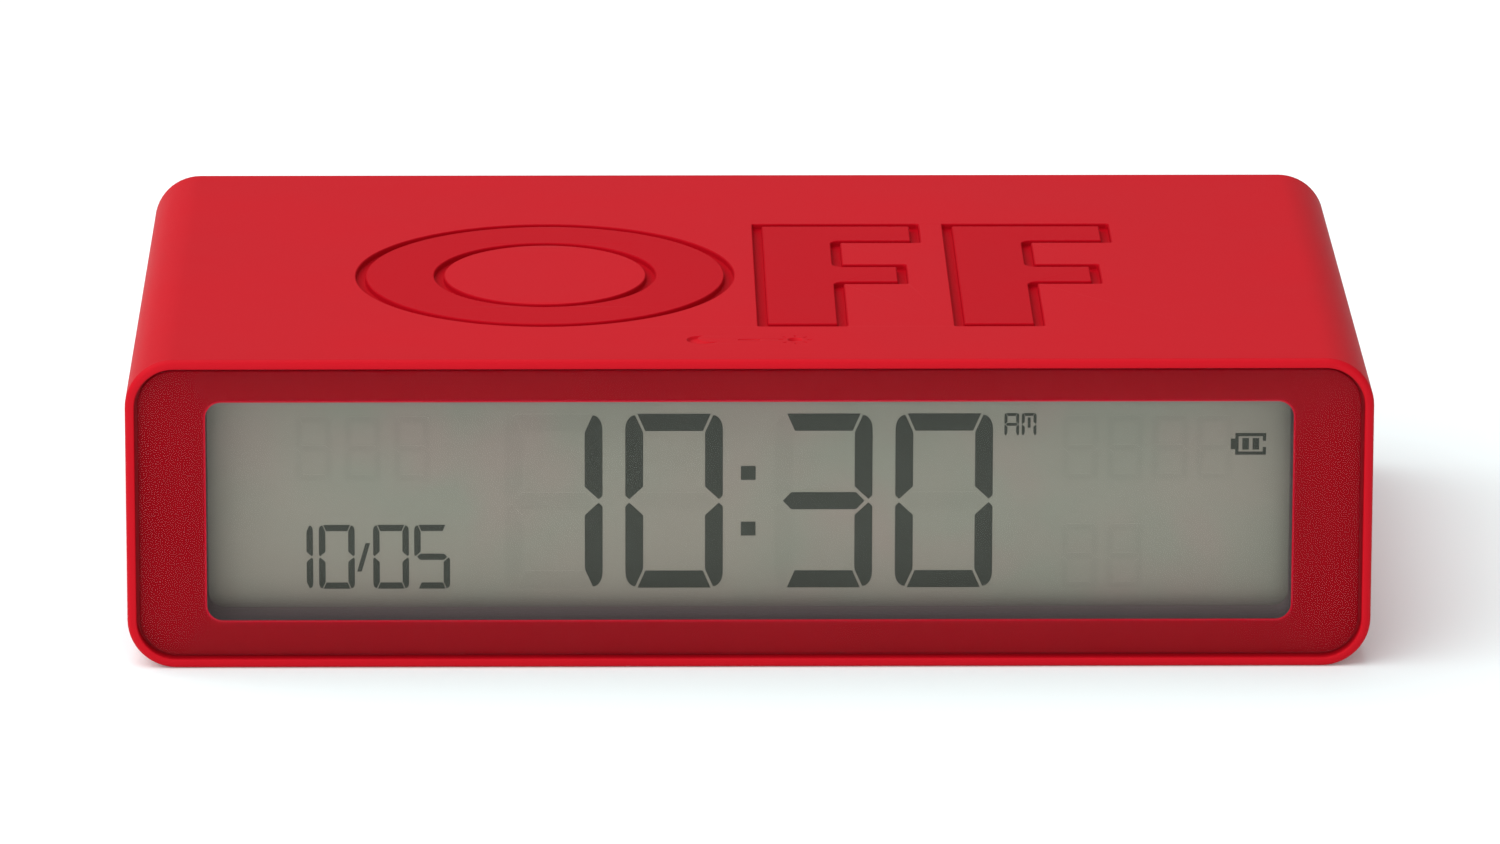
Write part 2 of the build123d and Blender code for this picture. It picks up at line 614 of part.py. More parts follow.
def screw(kind, seat, tip, x, z):
    """A pan-head screw along Y: its head is on the far side of the seat from the tip."""
    away = 1 if seat > tip else -1
    head_end = seat + away * kind["head_height"]
    head = rod(kind["head"], min(seat, head_end), max(seat, head_end), x, z)
    crown = head.faces().sort_by(Axis.Y)[-1 if away > 0 else 0]
    head = fillet(crown.edges(), 0.25)
    slot_ys = sorted((head_end, head_end - away * 0.35))
    long, short = kind["head"] * 0.62, 0.18
    head -= block((x - long, x + long), slot_ys, (z - short, z + short))
    head -= block((x - short, x + short), slot_ys, (z - long, z + long))
    return head + rod(kind["shaft"], min(seat, tip), max(seat, tip), x, z)


def make_cover_screws():
    seat = COVER_BACK - 0.8
    return group([screw(COVER_SCREW, seat, CASING_BACK - 2.7, x, z) for x, z in corner_places()])


def make_board_screws():
    return group([screw(SMALL_SCREW, BOARD_BACK, BOARD_FRONT - 1.9, x, z) for x, z in board_screw_places()])


def make_side_board_screws():
    tip = SIDE_BOARD_BACK + 2.3
    return group([screw(SMALL_SCREW, SIDE_BOARD_FRONT, tip, x, z) for x, z in corner_places()])


def make_bay_screws():
    seat = CASING_BACK - 3.7
    return group([screw(SMALL_SCREW, seat, seat + 3.4, x, LUG_Z) for x in (-LUG_X, LUG_X)])


def make_parts():
    touch_plate, side_board, ribbon = make_touch_plate(), make_side_board(), make_ribbon()
    parts = {
        "outer_sleeve": make_outer_sleeve(),
        "casing": make_casing(),
        "front_lens": make_front_lens(),
        "window_mask": make_window_mask(),
        "lens_tape": make_lens_tape(),
        "display_gasket": make_display_gasket(),
        "lcd_polariser": make_lcd_polariser(),
        "lcd_glass": make_lcd_glass(),
        "lcd_reflector": make_lcd_reflector(),
        "display_frame": make_display_frame(),
        "light_guide": make_light_guide(),
        "backlight_led": make_backlight_led(),
        "zebra_strips": make_zebra_strips(),
        "main_board": make_main_board(),
        "chip_blob": make_chip_blob(),
        "quartz_crystal": make_quartz_crystal(),
        "chip_capacitors": make_chip_capacitors(),
        "chip_resistors": make_chip_resistors(),
        "tilt_case": make_tilt_case(),
        "tilt_ball": make_tilt_ball(),
        "buzzer_case": make_buzzer_case(),
        "piezo_disc": make_piezo_disc(),
        "touch_plate_top": touch_plate,
        "touch_plate_bottom": turned_over(touch_plate),
        "touch_contacts": make_touch_contacts(),
        "rear_cover": make_rear_cover(),
        "battery_bay": make_battery_bay(),
        "battery_door": make_battery_door(),
        "battery_cell": make_cell(),
        "battery_cap": make_cell_cap(),
        "plus_contact": make_plus_contact(),
        "spring_contact": make_spring_contact(),
        "lead_red": make_lead(1),
        "lead_black": make_lead(-1),
        "button_board_right": side_board,
        "button_board_left": mirror_x(side_board),
        "ribbon_right": ribbon,
        "ribbon_left": mirror_x(ribbon),
        "tact_switches": make_tact_switches(),
        "cover_screws": make_cover_screws(),
        "board_screws": make_board_screws(),
        "button_board_screws": make_side_board_screws(),
        "bay_screws": make_bay_screws(),
    }
    for name in BUTTON_XS:
        parts["button_" + name] = make_button(name)
        parts["plunger_" + name] = make_plunger(name)
    return parts


os.makedirs("parts", exist_ok=True)
for node, shape in make_parts().items():
    export_step(shape, f"parts/{node}.step")
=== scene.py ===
import math

import bmesh
import bpy
from mathutils import Matrix, Vector
from mathutils.geometry import tessellate_polygon


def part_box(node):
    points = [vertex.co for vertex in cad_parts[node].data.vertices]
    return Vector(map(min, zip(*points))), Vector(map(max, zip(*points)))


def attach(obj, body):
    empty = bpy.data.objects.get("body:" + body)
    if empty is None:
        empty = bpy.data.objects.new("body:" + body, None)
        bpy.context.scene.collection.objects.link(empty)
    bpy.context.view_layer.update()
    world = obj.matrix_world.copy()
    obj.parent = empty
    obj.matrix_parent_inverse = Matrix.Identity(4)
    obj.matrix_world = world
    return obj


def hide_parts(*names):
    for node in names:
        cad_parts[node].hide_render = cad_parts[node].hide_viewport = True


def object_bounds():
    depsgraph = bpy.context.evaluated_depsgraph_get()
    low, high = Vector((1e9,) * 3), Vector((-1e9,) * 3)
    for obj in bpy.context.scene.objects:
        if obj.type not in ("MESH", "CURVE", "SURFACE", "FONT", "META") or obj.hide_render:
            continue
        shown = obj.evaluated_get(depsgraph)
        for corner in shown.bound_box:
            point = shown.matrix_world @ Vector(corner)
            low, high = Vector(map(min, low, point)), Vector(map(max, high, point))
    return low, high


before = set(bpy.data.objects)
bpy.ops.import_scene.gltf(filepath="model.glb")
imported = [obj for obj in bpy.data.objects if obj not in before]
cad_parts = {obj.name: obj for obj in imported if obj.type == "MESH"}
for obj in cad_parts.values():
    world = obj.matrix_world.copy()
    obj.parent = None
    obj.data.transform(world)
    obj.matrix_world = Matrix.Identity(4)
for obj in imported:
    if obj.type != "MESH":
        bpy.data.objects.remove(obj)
cad_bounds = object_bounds()

# Casing -----------------------------------------------------------------------------------------
# The rigid box that everything is fixed to: a moulded ABS tube with a front wall round the window.
# It is dyed the colour of the sleeve and keeps the fine spark texture of an inside part.

MM = 0.001


class Wire:
    """The value of one socket in a shader. Arithmetic on it adds Math nodes."""

    def __init__(self, paint, socket):
        self.paint = paint
        self.socket = socket

    def math(self, operation, first, second=0.0):
        return self.paint.node("ShaderNodeMath", {"operation": operation}, {0: first, 1: second})

    def __add__(self, other):
        return self.math("ADD", self, other)

    def __sub__(self, other):
        return self.math("SUBTRACT", self, other)

    def __rsub__(self, other):
        return self.math("SUBTRACT", other, self)

    def __mul__(self, other):
        return self.math("MULTIPLY", self, other)

    def __truediv__(self, other):
        return self.math("DIVIDE", self, other)

    def __mod__(self, other):
        return self.math("MODULO", self, other)

    def __pow__(self, other):
        return self.math("POWER", self, other)

    def __abs__(self):
        return self.math("ABSOLUTE", self)

    def __gt__(self, other):
        return self.math("GREATER_THAN", self, other)

    def __lt__(self, other):
        return self.math("LESS_THAN", self, other)

    def at_least(self, other):
        return self.math("MAXIMUM", self, other)

    __radd__ = __add__
    __rmul__ = __mul__


class Paint:
    def __init__(self, name):
        self.material = bpy.data.materials.new(name)
        self.material.use_nodes = True
        self.tree = self.material.node_tree
        self.tree.nodes.clear()
        self.place = self.node("ShaderNodeTexCoord", out="Object")

    def node(self, kind, settings=None, values=None, out=0):
        made = self.tree.nodes.new(kind)
        for name, value in (settings or {}).items():
            if name == "stops":
                while len(made.color_ramp.elements) < len(value):
                    made.color_ramp.elements.new(1.0)
                for stop, (at, grey) in zip(made.color_ramp.elements, value):
                    stop.position = at
                    stop.color = (grey, grey, grey, 1.0)
            else:
                setattr(made, name, value)
        for name, value in (values or {}).items():
            if isinstance(value, Wire):
                self.tree.links.new(value.socket, made.inputs[name])
            else:
                made.inputs[name].default_value = value
        return Wire(self, made.outputs[out]) if len(made.outputs) else made

    def noise(self, grain_mm, detail=2.0):
        """Cloudy grey whose spots are about the given size."""
        sockets = {"Vector": self.place, "Scale": 1 / (grain_mm * MM), "Detail": detail}
        return self.node("ShaderNodeTexNoise", None, sockets)

    def ramp(self, factor, *stops):
        return self.node("ShaderNodeValToRGB", {"stops": stops}, {"Fac": factor})

    def blend(self, factor, first, second):
        """A colour between two colours, each given as numbers or as a wire."""
        pads = [colour if isinstance(colour, Wire) else (*colour, 1.0) for colour in (first, second)]
        return self.node("ShaderNodeMix", {"data_type": "RGBA"}, {0: factor, 6: pads[0], 7: pads[1]}, out=2)

    def axis(self, letter):
        """One coordinate of the surface, in millimetres."""
        return self.node("ShaderNodeSeparateXYZ", None, {0: self.place}, out=letter) / MM

    def bump(self, height, depth_mm):
        return self.node("ShaderNodeBump", None, {"Height": height, "Distance": depth_mm * MM})

    def finish(self, surface="ShaderNodeBsdfPrincipled", **values):
        """Ends the material in a surface, whose sockets are named with underscores for spaces."""
        if not isinstance(surface, Wire):
            sockets = {name.replace("_", " "): value for name, value in values.items()}
            surface = self.node(surface, None, sockets)
        self.node("ShaderNodeOutputMaterial", None, {"Surface": surface})
        return self.material


def tinted(colour, factor):
    return tuple(min(1.0, part * factor) for part in colour)


def moulded(name, colour, roughness=0.45, grain_mm=0.35, grain_depth_mm=0.01, clouds=0.10, specular=0.35):
    """Moulded plastic: a slightly uneven dye, a fine grain and a roughness that wanders with it."""
    paint = Paint(name)
    cloud = paint.noise(9.0)
    grain = paint.noise(grain_mm, detail=1.0)
    return paint.finish(
        Base_Color=paint.blend(cloud, tinted(colour, 1 - clouds), tinted(colour, 1 + clouds)),
        Roughness=roughness - 0.06 + 0.12 * grain,
        Specular_IOR_Level=specular,
        Normal=paint.bump(grain, grain_depth_mm))


def dress(material, *nodes):
    """Gives carried-over pieces their finish."""
    for node in nodes:
        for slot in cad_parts[node].material_slots:
            slot.material = material


dress(moulded("casing_plastic", (0.42, 0.0045, 0.013), roughness=0.55, specular=0.2), "casing")

# Display frame and light ------------------------------------------------------------------------
# A white ABS frame clips behind the window and holds the display flat. An acrylic plate behind the
# glass, with a small lamp at its right end, spreads light over it, and white makes the most of it.

dress(moulded("frame_plastic", (0.72, 0.72, 0.69), roughness=0.5), "display_frame")
guide_dots = {"grain_mm": 0.6, "grain_depth_mm": 0.03}
dress(moulded("guide_acrylic", (0.82, 0.84, 0.80), roughness=0.25, **guide_dots), "light_guide")
dress(moulded("lamp_epoxy", (0.80, 0.72, 0.34), roughness=0.2, grain_depth_mm=0.0), "backlight_led")

# Display glass ----------------------------------------------------------------------------------
# Two sheets of glass with liquid crystal between them, and a polarising film on each side. The rear
# film also reflects, so that the display is a warm grey-green card with a faintly clouded face.
# It lies three millimetres behind the window's edge, and painted shadow darkens its colour towards its sill
# and sides.

DISPLAY_GREY = (0.234, 0.217, 0.179)
DISPLAY_GREEN = (0.215, 0.216, 0.175)
DISPLAY_PINK = (0.243, 0.209, 0.177)
DISPLAY_PAINTED_SHADOW = (0.058, 0.047, 0.050)
WINDOW_HALF = (37.5, 7.8)
CENTRE_Z = sum(corner[2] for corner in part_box("window_mask")) / 2 / MM
SHADE_REACH = 2.5
SILL_SHADE = ((0.0, 0.34), (0.11, 0.50), (0.20, 0.62), (0.28, 0.74), (0.34, 0.82), (0.48, 0.93), (0.8, 1.0))
SIDE_SHADE = ((0.0, 0.70), (0.25, 0.92), (0.5, 1.0))


def display_card(name, dimming=1.0):
    """The face of the display: a grey card with soft green and pink clouds, and painted shadow by its
    frame.
    """
    paint = Paint(name)
    green = paint.ramp(paint.noise(16.0, detail=3.0), (0.42, 0.0), (0.62, 1.0))
    pink = paint.ramp(paint.noise(11.0, detail=2.0), (0.50, 0.0), (0.68, 1.0))
    tone = paint.blend(green, tinted(DISPLAY_GREY, dimming), tinted(DISPLAY_GREEN, dimming))
    # Painted shadow: the card's colour fades to a dark grey near the window's sill and sides, where the
    # border shades it.
    above_sill = (paint.axis("Z") - (CENTRE_Z - WINDOW_HALF[1])) / SHADE_REACH
    from_side = (WINDOW_HALF[0] - abs(paint.axis("X"))) / SHADE_REACH
    light = paint.ramp(above_sill, *SILL_SHADE) * paint.ramp(from_side, *SIDE_SHADE)
    card = paint.blend(pink, tone, tinted(DISPLAY_PINK, dimming))
    return paint.finish(
        Base_Color=paint.blend(light, DISPLAY_PAINTED_SHADOW, card),
        Roughness=0.35 + 0.1 * paint.noise(0.4),
        Specular_IOR_Level=0.15)


dress(display_card("polariser_film"), "lcd_polariser", "lcd_reflector")
dress(moulded("display_glass", (0.30, 0.33, 0.29), roughness=0.12, grain_depth_mm=0.0), "lcd_glass")

# Display segments -------------------------------------------------------------------------------
# Where the crystal is switched on, it turns dark: bars for the digits, with bevelled gaps where two
# meet, and rounded outer corners. Each is a leaf a fiftieth of a millimetre thick on the film.

DISPLAY_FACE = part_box("lcd_polariser")[0][1] / MM
LEAF = 0.02
MID_HEIGHT = 10.81


def outline_arc(centre_x, centre_z, radius_x, radius_z, start, end, steps):
    """Points along an arc of an upright ellipse, from one angle to another in degrees."""
    angles = [math.radians(start + (end - start) * step / steps) for step in range(steps + 1)]
    return [(centre_x + radius_x * math.cos(angle), centre_z + radius_z * math.sin(angle))
            for angle in angles]


def upright_bar(width, height, bar):
    """The upper right bar of a digit that is centred on the origin."""
    right, top = width / 2, height / 2
    shoulder = outline_arc(right - 0.55 * bar, top - 0.90 * bar, 0.55 * bar, 0.82 * bar, 0, 90, 6)
    return [(right - 0.22 * bar, 0.10 * bar), (right, 0.32 * bar), *shoulder,
            (right - bar, top - 1.08 * bar), (right - bar, 0.83 * bar)]


def digit_bars(width, height, bar):
    """The seven bars of a digit, by the letters that displays give them, clockwise from the top."""
    upper_right = upright_bar(width, height, bar)
    half, top = width / 2, height / 2
    cap = [(-half + 0.68 * bar, top), (-half + 1.12 * bar, top - bar),
           (half - 1.12 * bar, top - bar), (half - 0.68 * bar, top)]
    middle = [(side * (half - inset * bar), level * bar) for side, inset, level in (
        (-1, 0.44, 0), (-1, 0.92, -0.5), (1, 0.92, -0.5), (1, 0.44, 0), (1, 0.92, 0.5), (-1, 0.92, 0.5))]
    return {
        "a": cap,
        "b": upper_right,
        "c": [(x, -z) for x, z in upper_right],
        "d": [(x, -z) for x, z in cap],
        "e": [(-x, -z) for x, z in upper_right],
        "f": [(-x, z) for x, z in upper_right],
        "g": middle,
    }


def rectangle(left, right, low, high):
    return [(left, low), (right, low), (right, high), (left, high)]


SHAPES = {"0": "abcdef", "1": "bc", "3": "abcdg", "5": "acdfg", "8": "abcdefg", "A": "abcefg", "M": "abcef"}


def leaves(name, outlines, thickness, material, stand_off=0.004):
    """Thin closed leaves on the display's face, one for each outline."""
    mesh = bmesh.new()
    front = (DISPLAY_FACE - stand_off - thickness) * MM
    for outline in outlines:
        near = [mesh.verts.new((x * MM, front, z * MM)) for x, z in outline]
        far = [mesh.verts.new((x * MM, front + thickness * MM, z * MM)) for x, z in outline]
        mesh.faces.new(near)
        mesh.faces.new(far[::-1])
        for step in range(len(outline)):
            after = (step + 1) % len(outline)
            mesh.faces.new((near[step], far[step], far[after], near[after]))
    return finished(name, mesh, material)


def finished(name, mesh, material, body="root", smooth=False):
    """Makes a piece from a mesh under construction and lets it ride on a body."""
    bmesh.ops.recalc_face_normals(mesh, faces=mesh.faces)
    data = bpy.data.meshes.new(name)
    mesh.to_mesh(data)
    mesh.free()
    data.materials.append(material)
    data.polygons.foreach_set("use_smooth", [smooth] * len(data.polygons))
    piece = bpy.data.objects.new(name, data)
    bpy.context.scene.collection.objects.link(piece)
    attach(piece, body)
    return piece


def written(text, right, middle, width, height, bar, pitch, lit=None):
    """The bars of a row of digits. right is the right edge of its first digit."""
    outlines = []
    for place, sign in enumerate(text):
        bars = digit_bars(width, height, bar)
        for letter in (lit or SHAPES[sign]):
            shift = right + pitch * place - width / 2
            outlines.append([(x + shift, z + middle) for x, z in bars[letter]])
    return outlines


TIME = {"width": 6.76, "height": 12.5, "bar": 1.235}
DATE = {"width": 2.48, "height": 4.6, "bar": 0.45}
TINY = {"width": 1.02, "height": 1.62, "bar": 0.21}
DATE_MIDDLE = 6.82
TIME_PITCH = 8.34
COLON_SPREAD = 2.0
M_MIDDLE_STROKE = (19.29, 19.49, 16.02, 16.77)
DATE_SLASH = [(-27.19, 5.76), (-26.87, 5.76), (-26.28, 7.81), (-26.60, 7.81)]

lit_bars = written("10", -10.15, MID_HEIGHT, pitch=TIME_PITCH, **TIME)
lit_bars += written("30", 8.56, MID_HEIGHT, pitch=TIME_PITCH, **TIME)
lit_bars += written("10", -30.24, DATE_MIDDLE, pitch=2.89, **DATE)
lit_bars += written("05", -23.59, DATE_MIDDLE, pitch=2.85, **DATE)
lit_bars += written("AM", 18.70, 16.27, pitch=1.2, **TINY)
lit_bars.append(rectangle(*M_MIDDLE_STROKE))
lit_bars.append(DATE_SLASH)
for dot_middle in (MID_HEIGHT - COLON_SPREAD, MID_HEIGHT + COLON_SPREAD):
    lit_bars.append(rectangle(-0.56, 0.46, dot_middle - 0.5, dot_middle + 0.5))


def battery_case(left, right, low, high, line):
    """A battery symbol's case as five bars, open at the middle of its right side."""
    gap_low, gap_high = low + (high - low) * 0.36, low + (high - low) * 0.64
    inner_low, inner_high = low + line, high - line
    return [
        rectangle(left, right, inner_high, high),
        rectangle(left, right, low, inner_low),
        rectangle(left, left + line, inner_low, inner_high),
        rectangle(right - line, right, inner_low, gap_low),
        rectangle(right - line, right, gap_high, inner_high)]


BATTERY_NUB = (33.38, 33.70, 14.46, 15.22)
BATTERY_CHARGE = ((34.18, 34.64, 14.43, 15.26), (34.89, 35.35, 14.43, 15.26))
lit_bars += battery_case(33.69, 35.83, 14.06, 15.62, line=0.23)
lit_bars += [rectangle(*edges) for edges in (BATTERY_NUB, *BATTERY_CHARGE)]

segment_ink = moulded(
    "segment_dark", (0.043, 0.047, 0.038), roughness=0.4, grain_depth_mm=0.0, clouds=0.05, specular=0.1)
leaves("display_segments", lit_bars, LEAF, segment_ink)

# Resting segments -------------------------------------------------------------------------------
# The bars that are switched off still show, very faintly, as thin greenish leaves of the same
# crystal: weekday and temperature rows above, and the bars of the time that are not in use.

WORD_MIDDLE = 14.6
resting = written("8", -10.15, MID_HEIGHT, pitch=TIME_PITCH, lit="adefg", **TIME)
resting += written("8", -1.81, MID_HEIGHT, pitch=TIME_PITCH, lit="g", **TIME)
resting += written("8", 8.56, MID_HEIGHT, pitch=TIME_PITCH, lit="ef", **TIME)
resting += written("8", 16.9, MID_HEIGHT, pitch=TIME_PITCH, lit="g", **TIME)
resting += written("888", -28.9, WORD_MIDDLE, pitch=3.4, **DATE)
resting += written("8888", 24.2, WORD_MIDDLE, pitch=3.1, **DATE)
resting += written("88", 24.2, DATE_MIDDLE, pitch=3.1, **DATE)
leaves("resting_segments", resting, LEAF / 2, display_card("resting_crystal", dimming=0.955))

# Contact strips ---------------------------------------------------------------------------------
# Two bars of soft silicone with hundreds of carbon layers carry the signals from the board to the
# edges of the glass. They are squeezed between the two and held by slots in the display frame.

LAYERS_PER_MM = 10.0

layers = Paint("zebra_rubber")
stripe = layers.axis("Z") * LAYERS_PER_MM % 1.0 > 0.5
dress(layers.finish(
    Base_Color=layers.blend(stripe, (0.02, 0.02, 0.022), (0.32, 0.33, 0.36)),
    Roughness=0.7), "zebra_strips")

# Main board -------------------------------------------------------------------------------------
# Green glass-epoxy board screwed to the back of the display frame, with copper tracks that show
# through the solder mask, a drop of black epoxy over the chip, a quartz can and small parts.


def circuit_board(name):
    """Solder mask over tracks that run side by side and break off in patches."""
    paint = Paint(name)
    along = (paint.axis("Z") * 1.3 % 1.0) > 0.62
    across = (paint.axis("X") * 0.9 % 1.0) > 0.7
    patch = paint.noise(5.0, detail=0.0) > 0.5
    track = along * patch + across * (1.0 - patch)
    fibre = paint.noise(0.25)
    return paint.finish(
        Base_Color=paint.blend(track, (0.012, 0.105, 0.040), (0.035, 0.215, 0.075)),
        Roughness=0.28 + 0.12 * fibre,
        Normal=paint.bump(track + 0.2 * fibre, 0.02))


def metal(name, colour, roughness=0.3, grain_mm=0.15, grain_depth_mm=0.004):
    """Bare or plated metal: slightly uneven polish, with a fine grain left by rolling or turning."""
    paint = Paint(name)
    grain = paint.noise(grain_mm, detail=2.0)
    stain = paint.noise(3.0)
    return paint.finish(
        Base_Color=paint.blend(stain, tinted(colour, 0.86), colour),
        Metallic=1.0,
        Roughness=roughness - 0.08 + 0.16 * grain,
        Normal=paint.bump(grain, grain_depth_mm))


dress(circuit_board("board_green"), "main_board", "button_board_left", "button_board_right")
epoxy = moulded("epoxy_black", (0.010, 0.010, 0.012), roughness=0.22, grain_mm=1.5, grain_depth_mm=0.05)
dress(epoxy, "chip_blob")
dress(moulded("fired_ceramic", (0.40, 0.29, 0.18), roughness=0.5, grain_mm=0.2), "chip_capacitors")
dress(moulded("resistor_black", (0.018, 0.018, 0.020), roughness=0.35, grain_mm=0.2), "chip_resistors")
dress(metal("nickel_can", (0.70, 0.69, 0.66), roughness=0.25), "quartz_crystal")

# Tilt sensor ------------------------------------------------------------------------------------
# A black moulded case with a gold-plated ball in a well. The ball drops to the other end when the
# clock is turned over, and so tells the chip which broad face is up.

dress(moulded("sensor_plastic", (0.022, 0.022, 0.024), roughness=0.5), "tilt_case")
dress(metal("gold_plate", (0.83, 0.62, 0.28), roughness=0.18), "tilt_ball")

# Buzzer -----------------------------------------------------------------------------------------
# A black cup on the board with a thin brass disc inside, which carries the ceramic that bends it.

dress(moulded("buzzer_plastic", (0.016, 0.016, 0.017), roughness=0.42), "buzzer_case")
dress(metal("brass_disc", (0.72, 0.52, 0.22), roughness=0.3), "piezo_disc")

# Touch plates -----------------------------------------------------------------------------------
# Copper sheets glued under the two broad walls feel a finger through plastic and rubber. Each has a
# bent strip that presses on a pad of the board.

dress(metal("copper_sheet", (0.86, 0.45, 0.28), roughness=0.35, grain_mm=0.4),
      "touch_plate_top", "touch_plate_bottom", "touch_contacts")

# Window mask ------------------------------------------------------------------------------------
# The deep red border is screen-printed on the back of the window, so it looks like lacquer under
# glass. A painted highlight brightens the ink in a thin line where it ends, at the edge of the clear
# window.
# Black tape holds it to the casing, and a frame of dark foam keeps dust off the display behind it.

WINDOW_CORNER = 1.1
PAINTED_HIGHLIGHT_WIDTH = 0.13
INK_DEEP = (0.222, 0.0022, 0.0062)
INK_LIGHT = (0.240, 0.0028, 0.0072)
INK_PAINTED_HIGHLIGHT = (0.40, 0.007, 0.020)

ink = Paint("mask_print")
beyond = [(abs(ink.axis(letter) - middle) - (half - WINDOW_CORNER)).at_least(0.0)
          for letter, middle, half in (("X", 0.0, WINDOW_HALF[0]), ("Z", CENTRE_Z, WINDOW_HALF[1]))]
from_window = (beyond[0] ** 2 + beyond[1] ** 2) ** 0.5 - WINDOW_CORNER
# Painted highlight: a thin line of brighter ink along the edge of the clear window.
dress(ink.finish(
    Base_Color=ink.blend(from_window < PAINTED_HIGHLIGHT_WIDTH, ink.blend(ink.noise(14.0), INK_DEEP, INK_LIGHT), INK_PAINTED_HIGHLIGHT),
    Roughness=0.42,
    Specular_IOR_Level=0.0), "window_mask")
dress(moulded("adhesive_tape", (0.03, 0.03, 0.03), roughness=0.6), "lens_tape")

FOAM_SHADED_FRONT = (0.062, 0.052, 0.056)
FOAM_LIT_BACK = (0.150, 0.118, 0.118)

# Painted shade: the foam is darkest by the window and lighter towards the display.
foam = Paint("gasket_foam")
gasket_low, gasket_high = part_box("display_gasket")
inward = (foam.axis("Y") - gasket_low[1] / MM) / ((gasket_high[1] - gasket_low[1]) / MM)
dress(foam.finish(
    Base_Color=foam.blend(inward, FOAM_SHADED_FRONT, FOAM_LIT_BACK),
    Roughness=0.85,
    Specular_IOR_Level=0.1,
    Normal=foam.bump(foam.noise(0.12), 0.04)), "display_gasket")

# Window -----------------------------------------------------------------------------------------
# Clear acrylic plate with polished faces and a small chamfer all round, set a quarter of a
# millimetre below the rubber lip. It mirrors most at a slant. Its sawn edge is dull and dark red:
# partly frosted acrylic, partly painted shade that darkens the gap at the lip.

PLATE_HALF = (42.15, 10.15)
PLATE_CORNER = 2.55
PLATE_CHAMFER = 0.12
INK_GAP = 0.02
CORNER_STEPS = 14


def quarter(steps):
    return [math.pi / 2 * step / steps for step in range(steps + 1)]


def rounded_ring(half_width, half_height, radius):
    """An upright rounded rectangle round the middle height, clockwise from the right of its top."""
    ring = []
    for turn, (side, level) in enumerate(((1, 1), (1, -1), (-1, -1), (-1, 1))):
        for step in quarter(CORNER_STEPS):
            angle = math.pi / 2 * (1 - turn) - step
            ring.append((side * (half_width - radius) + radius * math.cos(angle),
                         CENTRE_Z + level * (half_height - radius) + radius * math.sin(angle)))
    return ring


def skirt(mesh, rings, slot=0):
    """Joins rings of equally many points by four-sided faces."""
    for upper, lower in zip(rings, rings[1:]):
        for step in range(len(upper)):
            after = (step + 1) % len(upper)
            mesh.faces.new((upper[step], upper[after], lower[after], lower[step])).material_index = slot


clear = Paint("lens_acrylic")
smudge = clear.noise(12.0, detail=3.0)
see_through = clear.node("ShaderNodeBsdfTransparent")
polish = {"Color": (1, 1, 1, 1), "Roughness": 0.03 + 0.05 * smudge}
shine = clear.node("ShaderNodeBsdfAnisotropic", None, polish)
aslant = clear.node("ShaderNodeLayerWeight", None, {"Blend": 0.5}, out="Facing")
mirrored = 0.003 + 0.5 * aslant ** 5
acrylic = clear.finish(clear.node("ShaderNodeMixShader", None, {0: mirrored, 1: see_through, 2: shine}))

SAWN_DULLNESS = 0.45
# The sawn edge is partly frosted acrylic and partly painted shade, tinted dark red to darken the gap at the
# rubber lip.
sawn = Paint("sawn_edge")
through = sawn.node("ShaderNodeBsdfTransparent")
pink = sawn.node("ShaderNodeBsdfDiffuse", None, {"Color": (0.16, 0.002, 0.006, 1.0)})
dull_shaded_edge = sawn.finish(sawn.node("ShaderNodeMixShader", None, {0: SAWN_DULLNESS, 1: through, 2: pink}))

plate_low, plate_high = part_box("front_lens")
plate_front, plate_back = plate_low[1] / MM, plate_high[1] / MM - INK_GAP
mesh = bmesh.new()
steps = ((PLATE_CHAMFER, plate_front), (0.0, plate_front + PLATE_CHAMFER), (0.0, plate_back))
rings = [[mesh.verts.new(Vector((x, y, z)) * MM)
          for x, z in rounded_ring(PLATE_HALF[0] - inset, PLATE_HALF[1] - inset, PLATE_CORNER - inset)]
         for inset, y in steps]
skirt(mesh, rings[:2])
skirt(mesh, rings[1:], slot=1)
mesh.faces.new(rings[0])
mesh.faces.new(rings[-1])
window = finished("window_plate", mesh, acrylic)
window.data.materials.append(dull_shaded_edge)
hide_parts("front_lens")

# Button boards and switches ---------------------------------------------------------------------
# Two small boards stand behind the rear cover, each with two snap switches in black cases. A grey
# flat cable joins each to the main board, and two screws hold each to the casing's corner blocks.

BUTTON_NAMES = ("minus", "plus", "alarm", "set")

dress(moulded("switch_plastic", (0.030, 0.030, 0.032), roughness=0.45), "tact_switches")
dress(moulded("plunger_plastic", (0.62, 0.60, 0.55), roughness=0.4),
      *["plunger_" + name for name in BUTTON_NAMES])
cable = Paint("ribbon_grey")
groove = abs(cable.axis("Z") * 1.25 % 1.0 - 0.5) * 2.0
dress(cable.finish(
    Base_Color=cable.blend(groove > 0.86, (0.42, 0.42, 0.44), (0.20, 0.20, 0.21)),
    Roughness=0.5,
    Normal=cable.bump(groove, 0.08)), "ribbon_left", "ribbon_right")

# Battery bay ------------------------------------------------------------------------------------
# A red moulded tray behind the door, screwed to the cover by two lugs, with a nickel-plated blade
# at one end and a coiled spring at the other. Vinyl-covered leads run from them to the board.

dress(moulded("bay_plastic", (0.42, 0.0045, 0.013), roughness=0.5, specular=0.2), "battery_bay")
dress(metal("nickel_strip", (0.72, 0.71, 0.67), roughness=0.28), "plus_contact", "spring_contact")
dress(moulded("vinyl_red", (0.55, 0.012, 0.012), roughness=0.4, grain_mm=0.8), "lead_red")
dress(moulded("vinyl_black", (0.015, 0.015, 0.016), roughness=0.4, grain_mm=0.8), "lead_black")

# Cell -------------------------------------------------------------------------------------------
# A standard round cell: a steel can in a printed shrink sleeve, dark with a copper-coloured band at
# the plus end. The sleeve stops short of both ends, where the bare can shows.

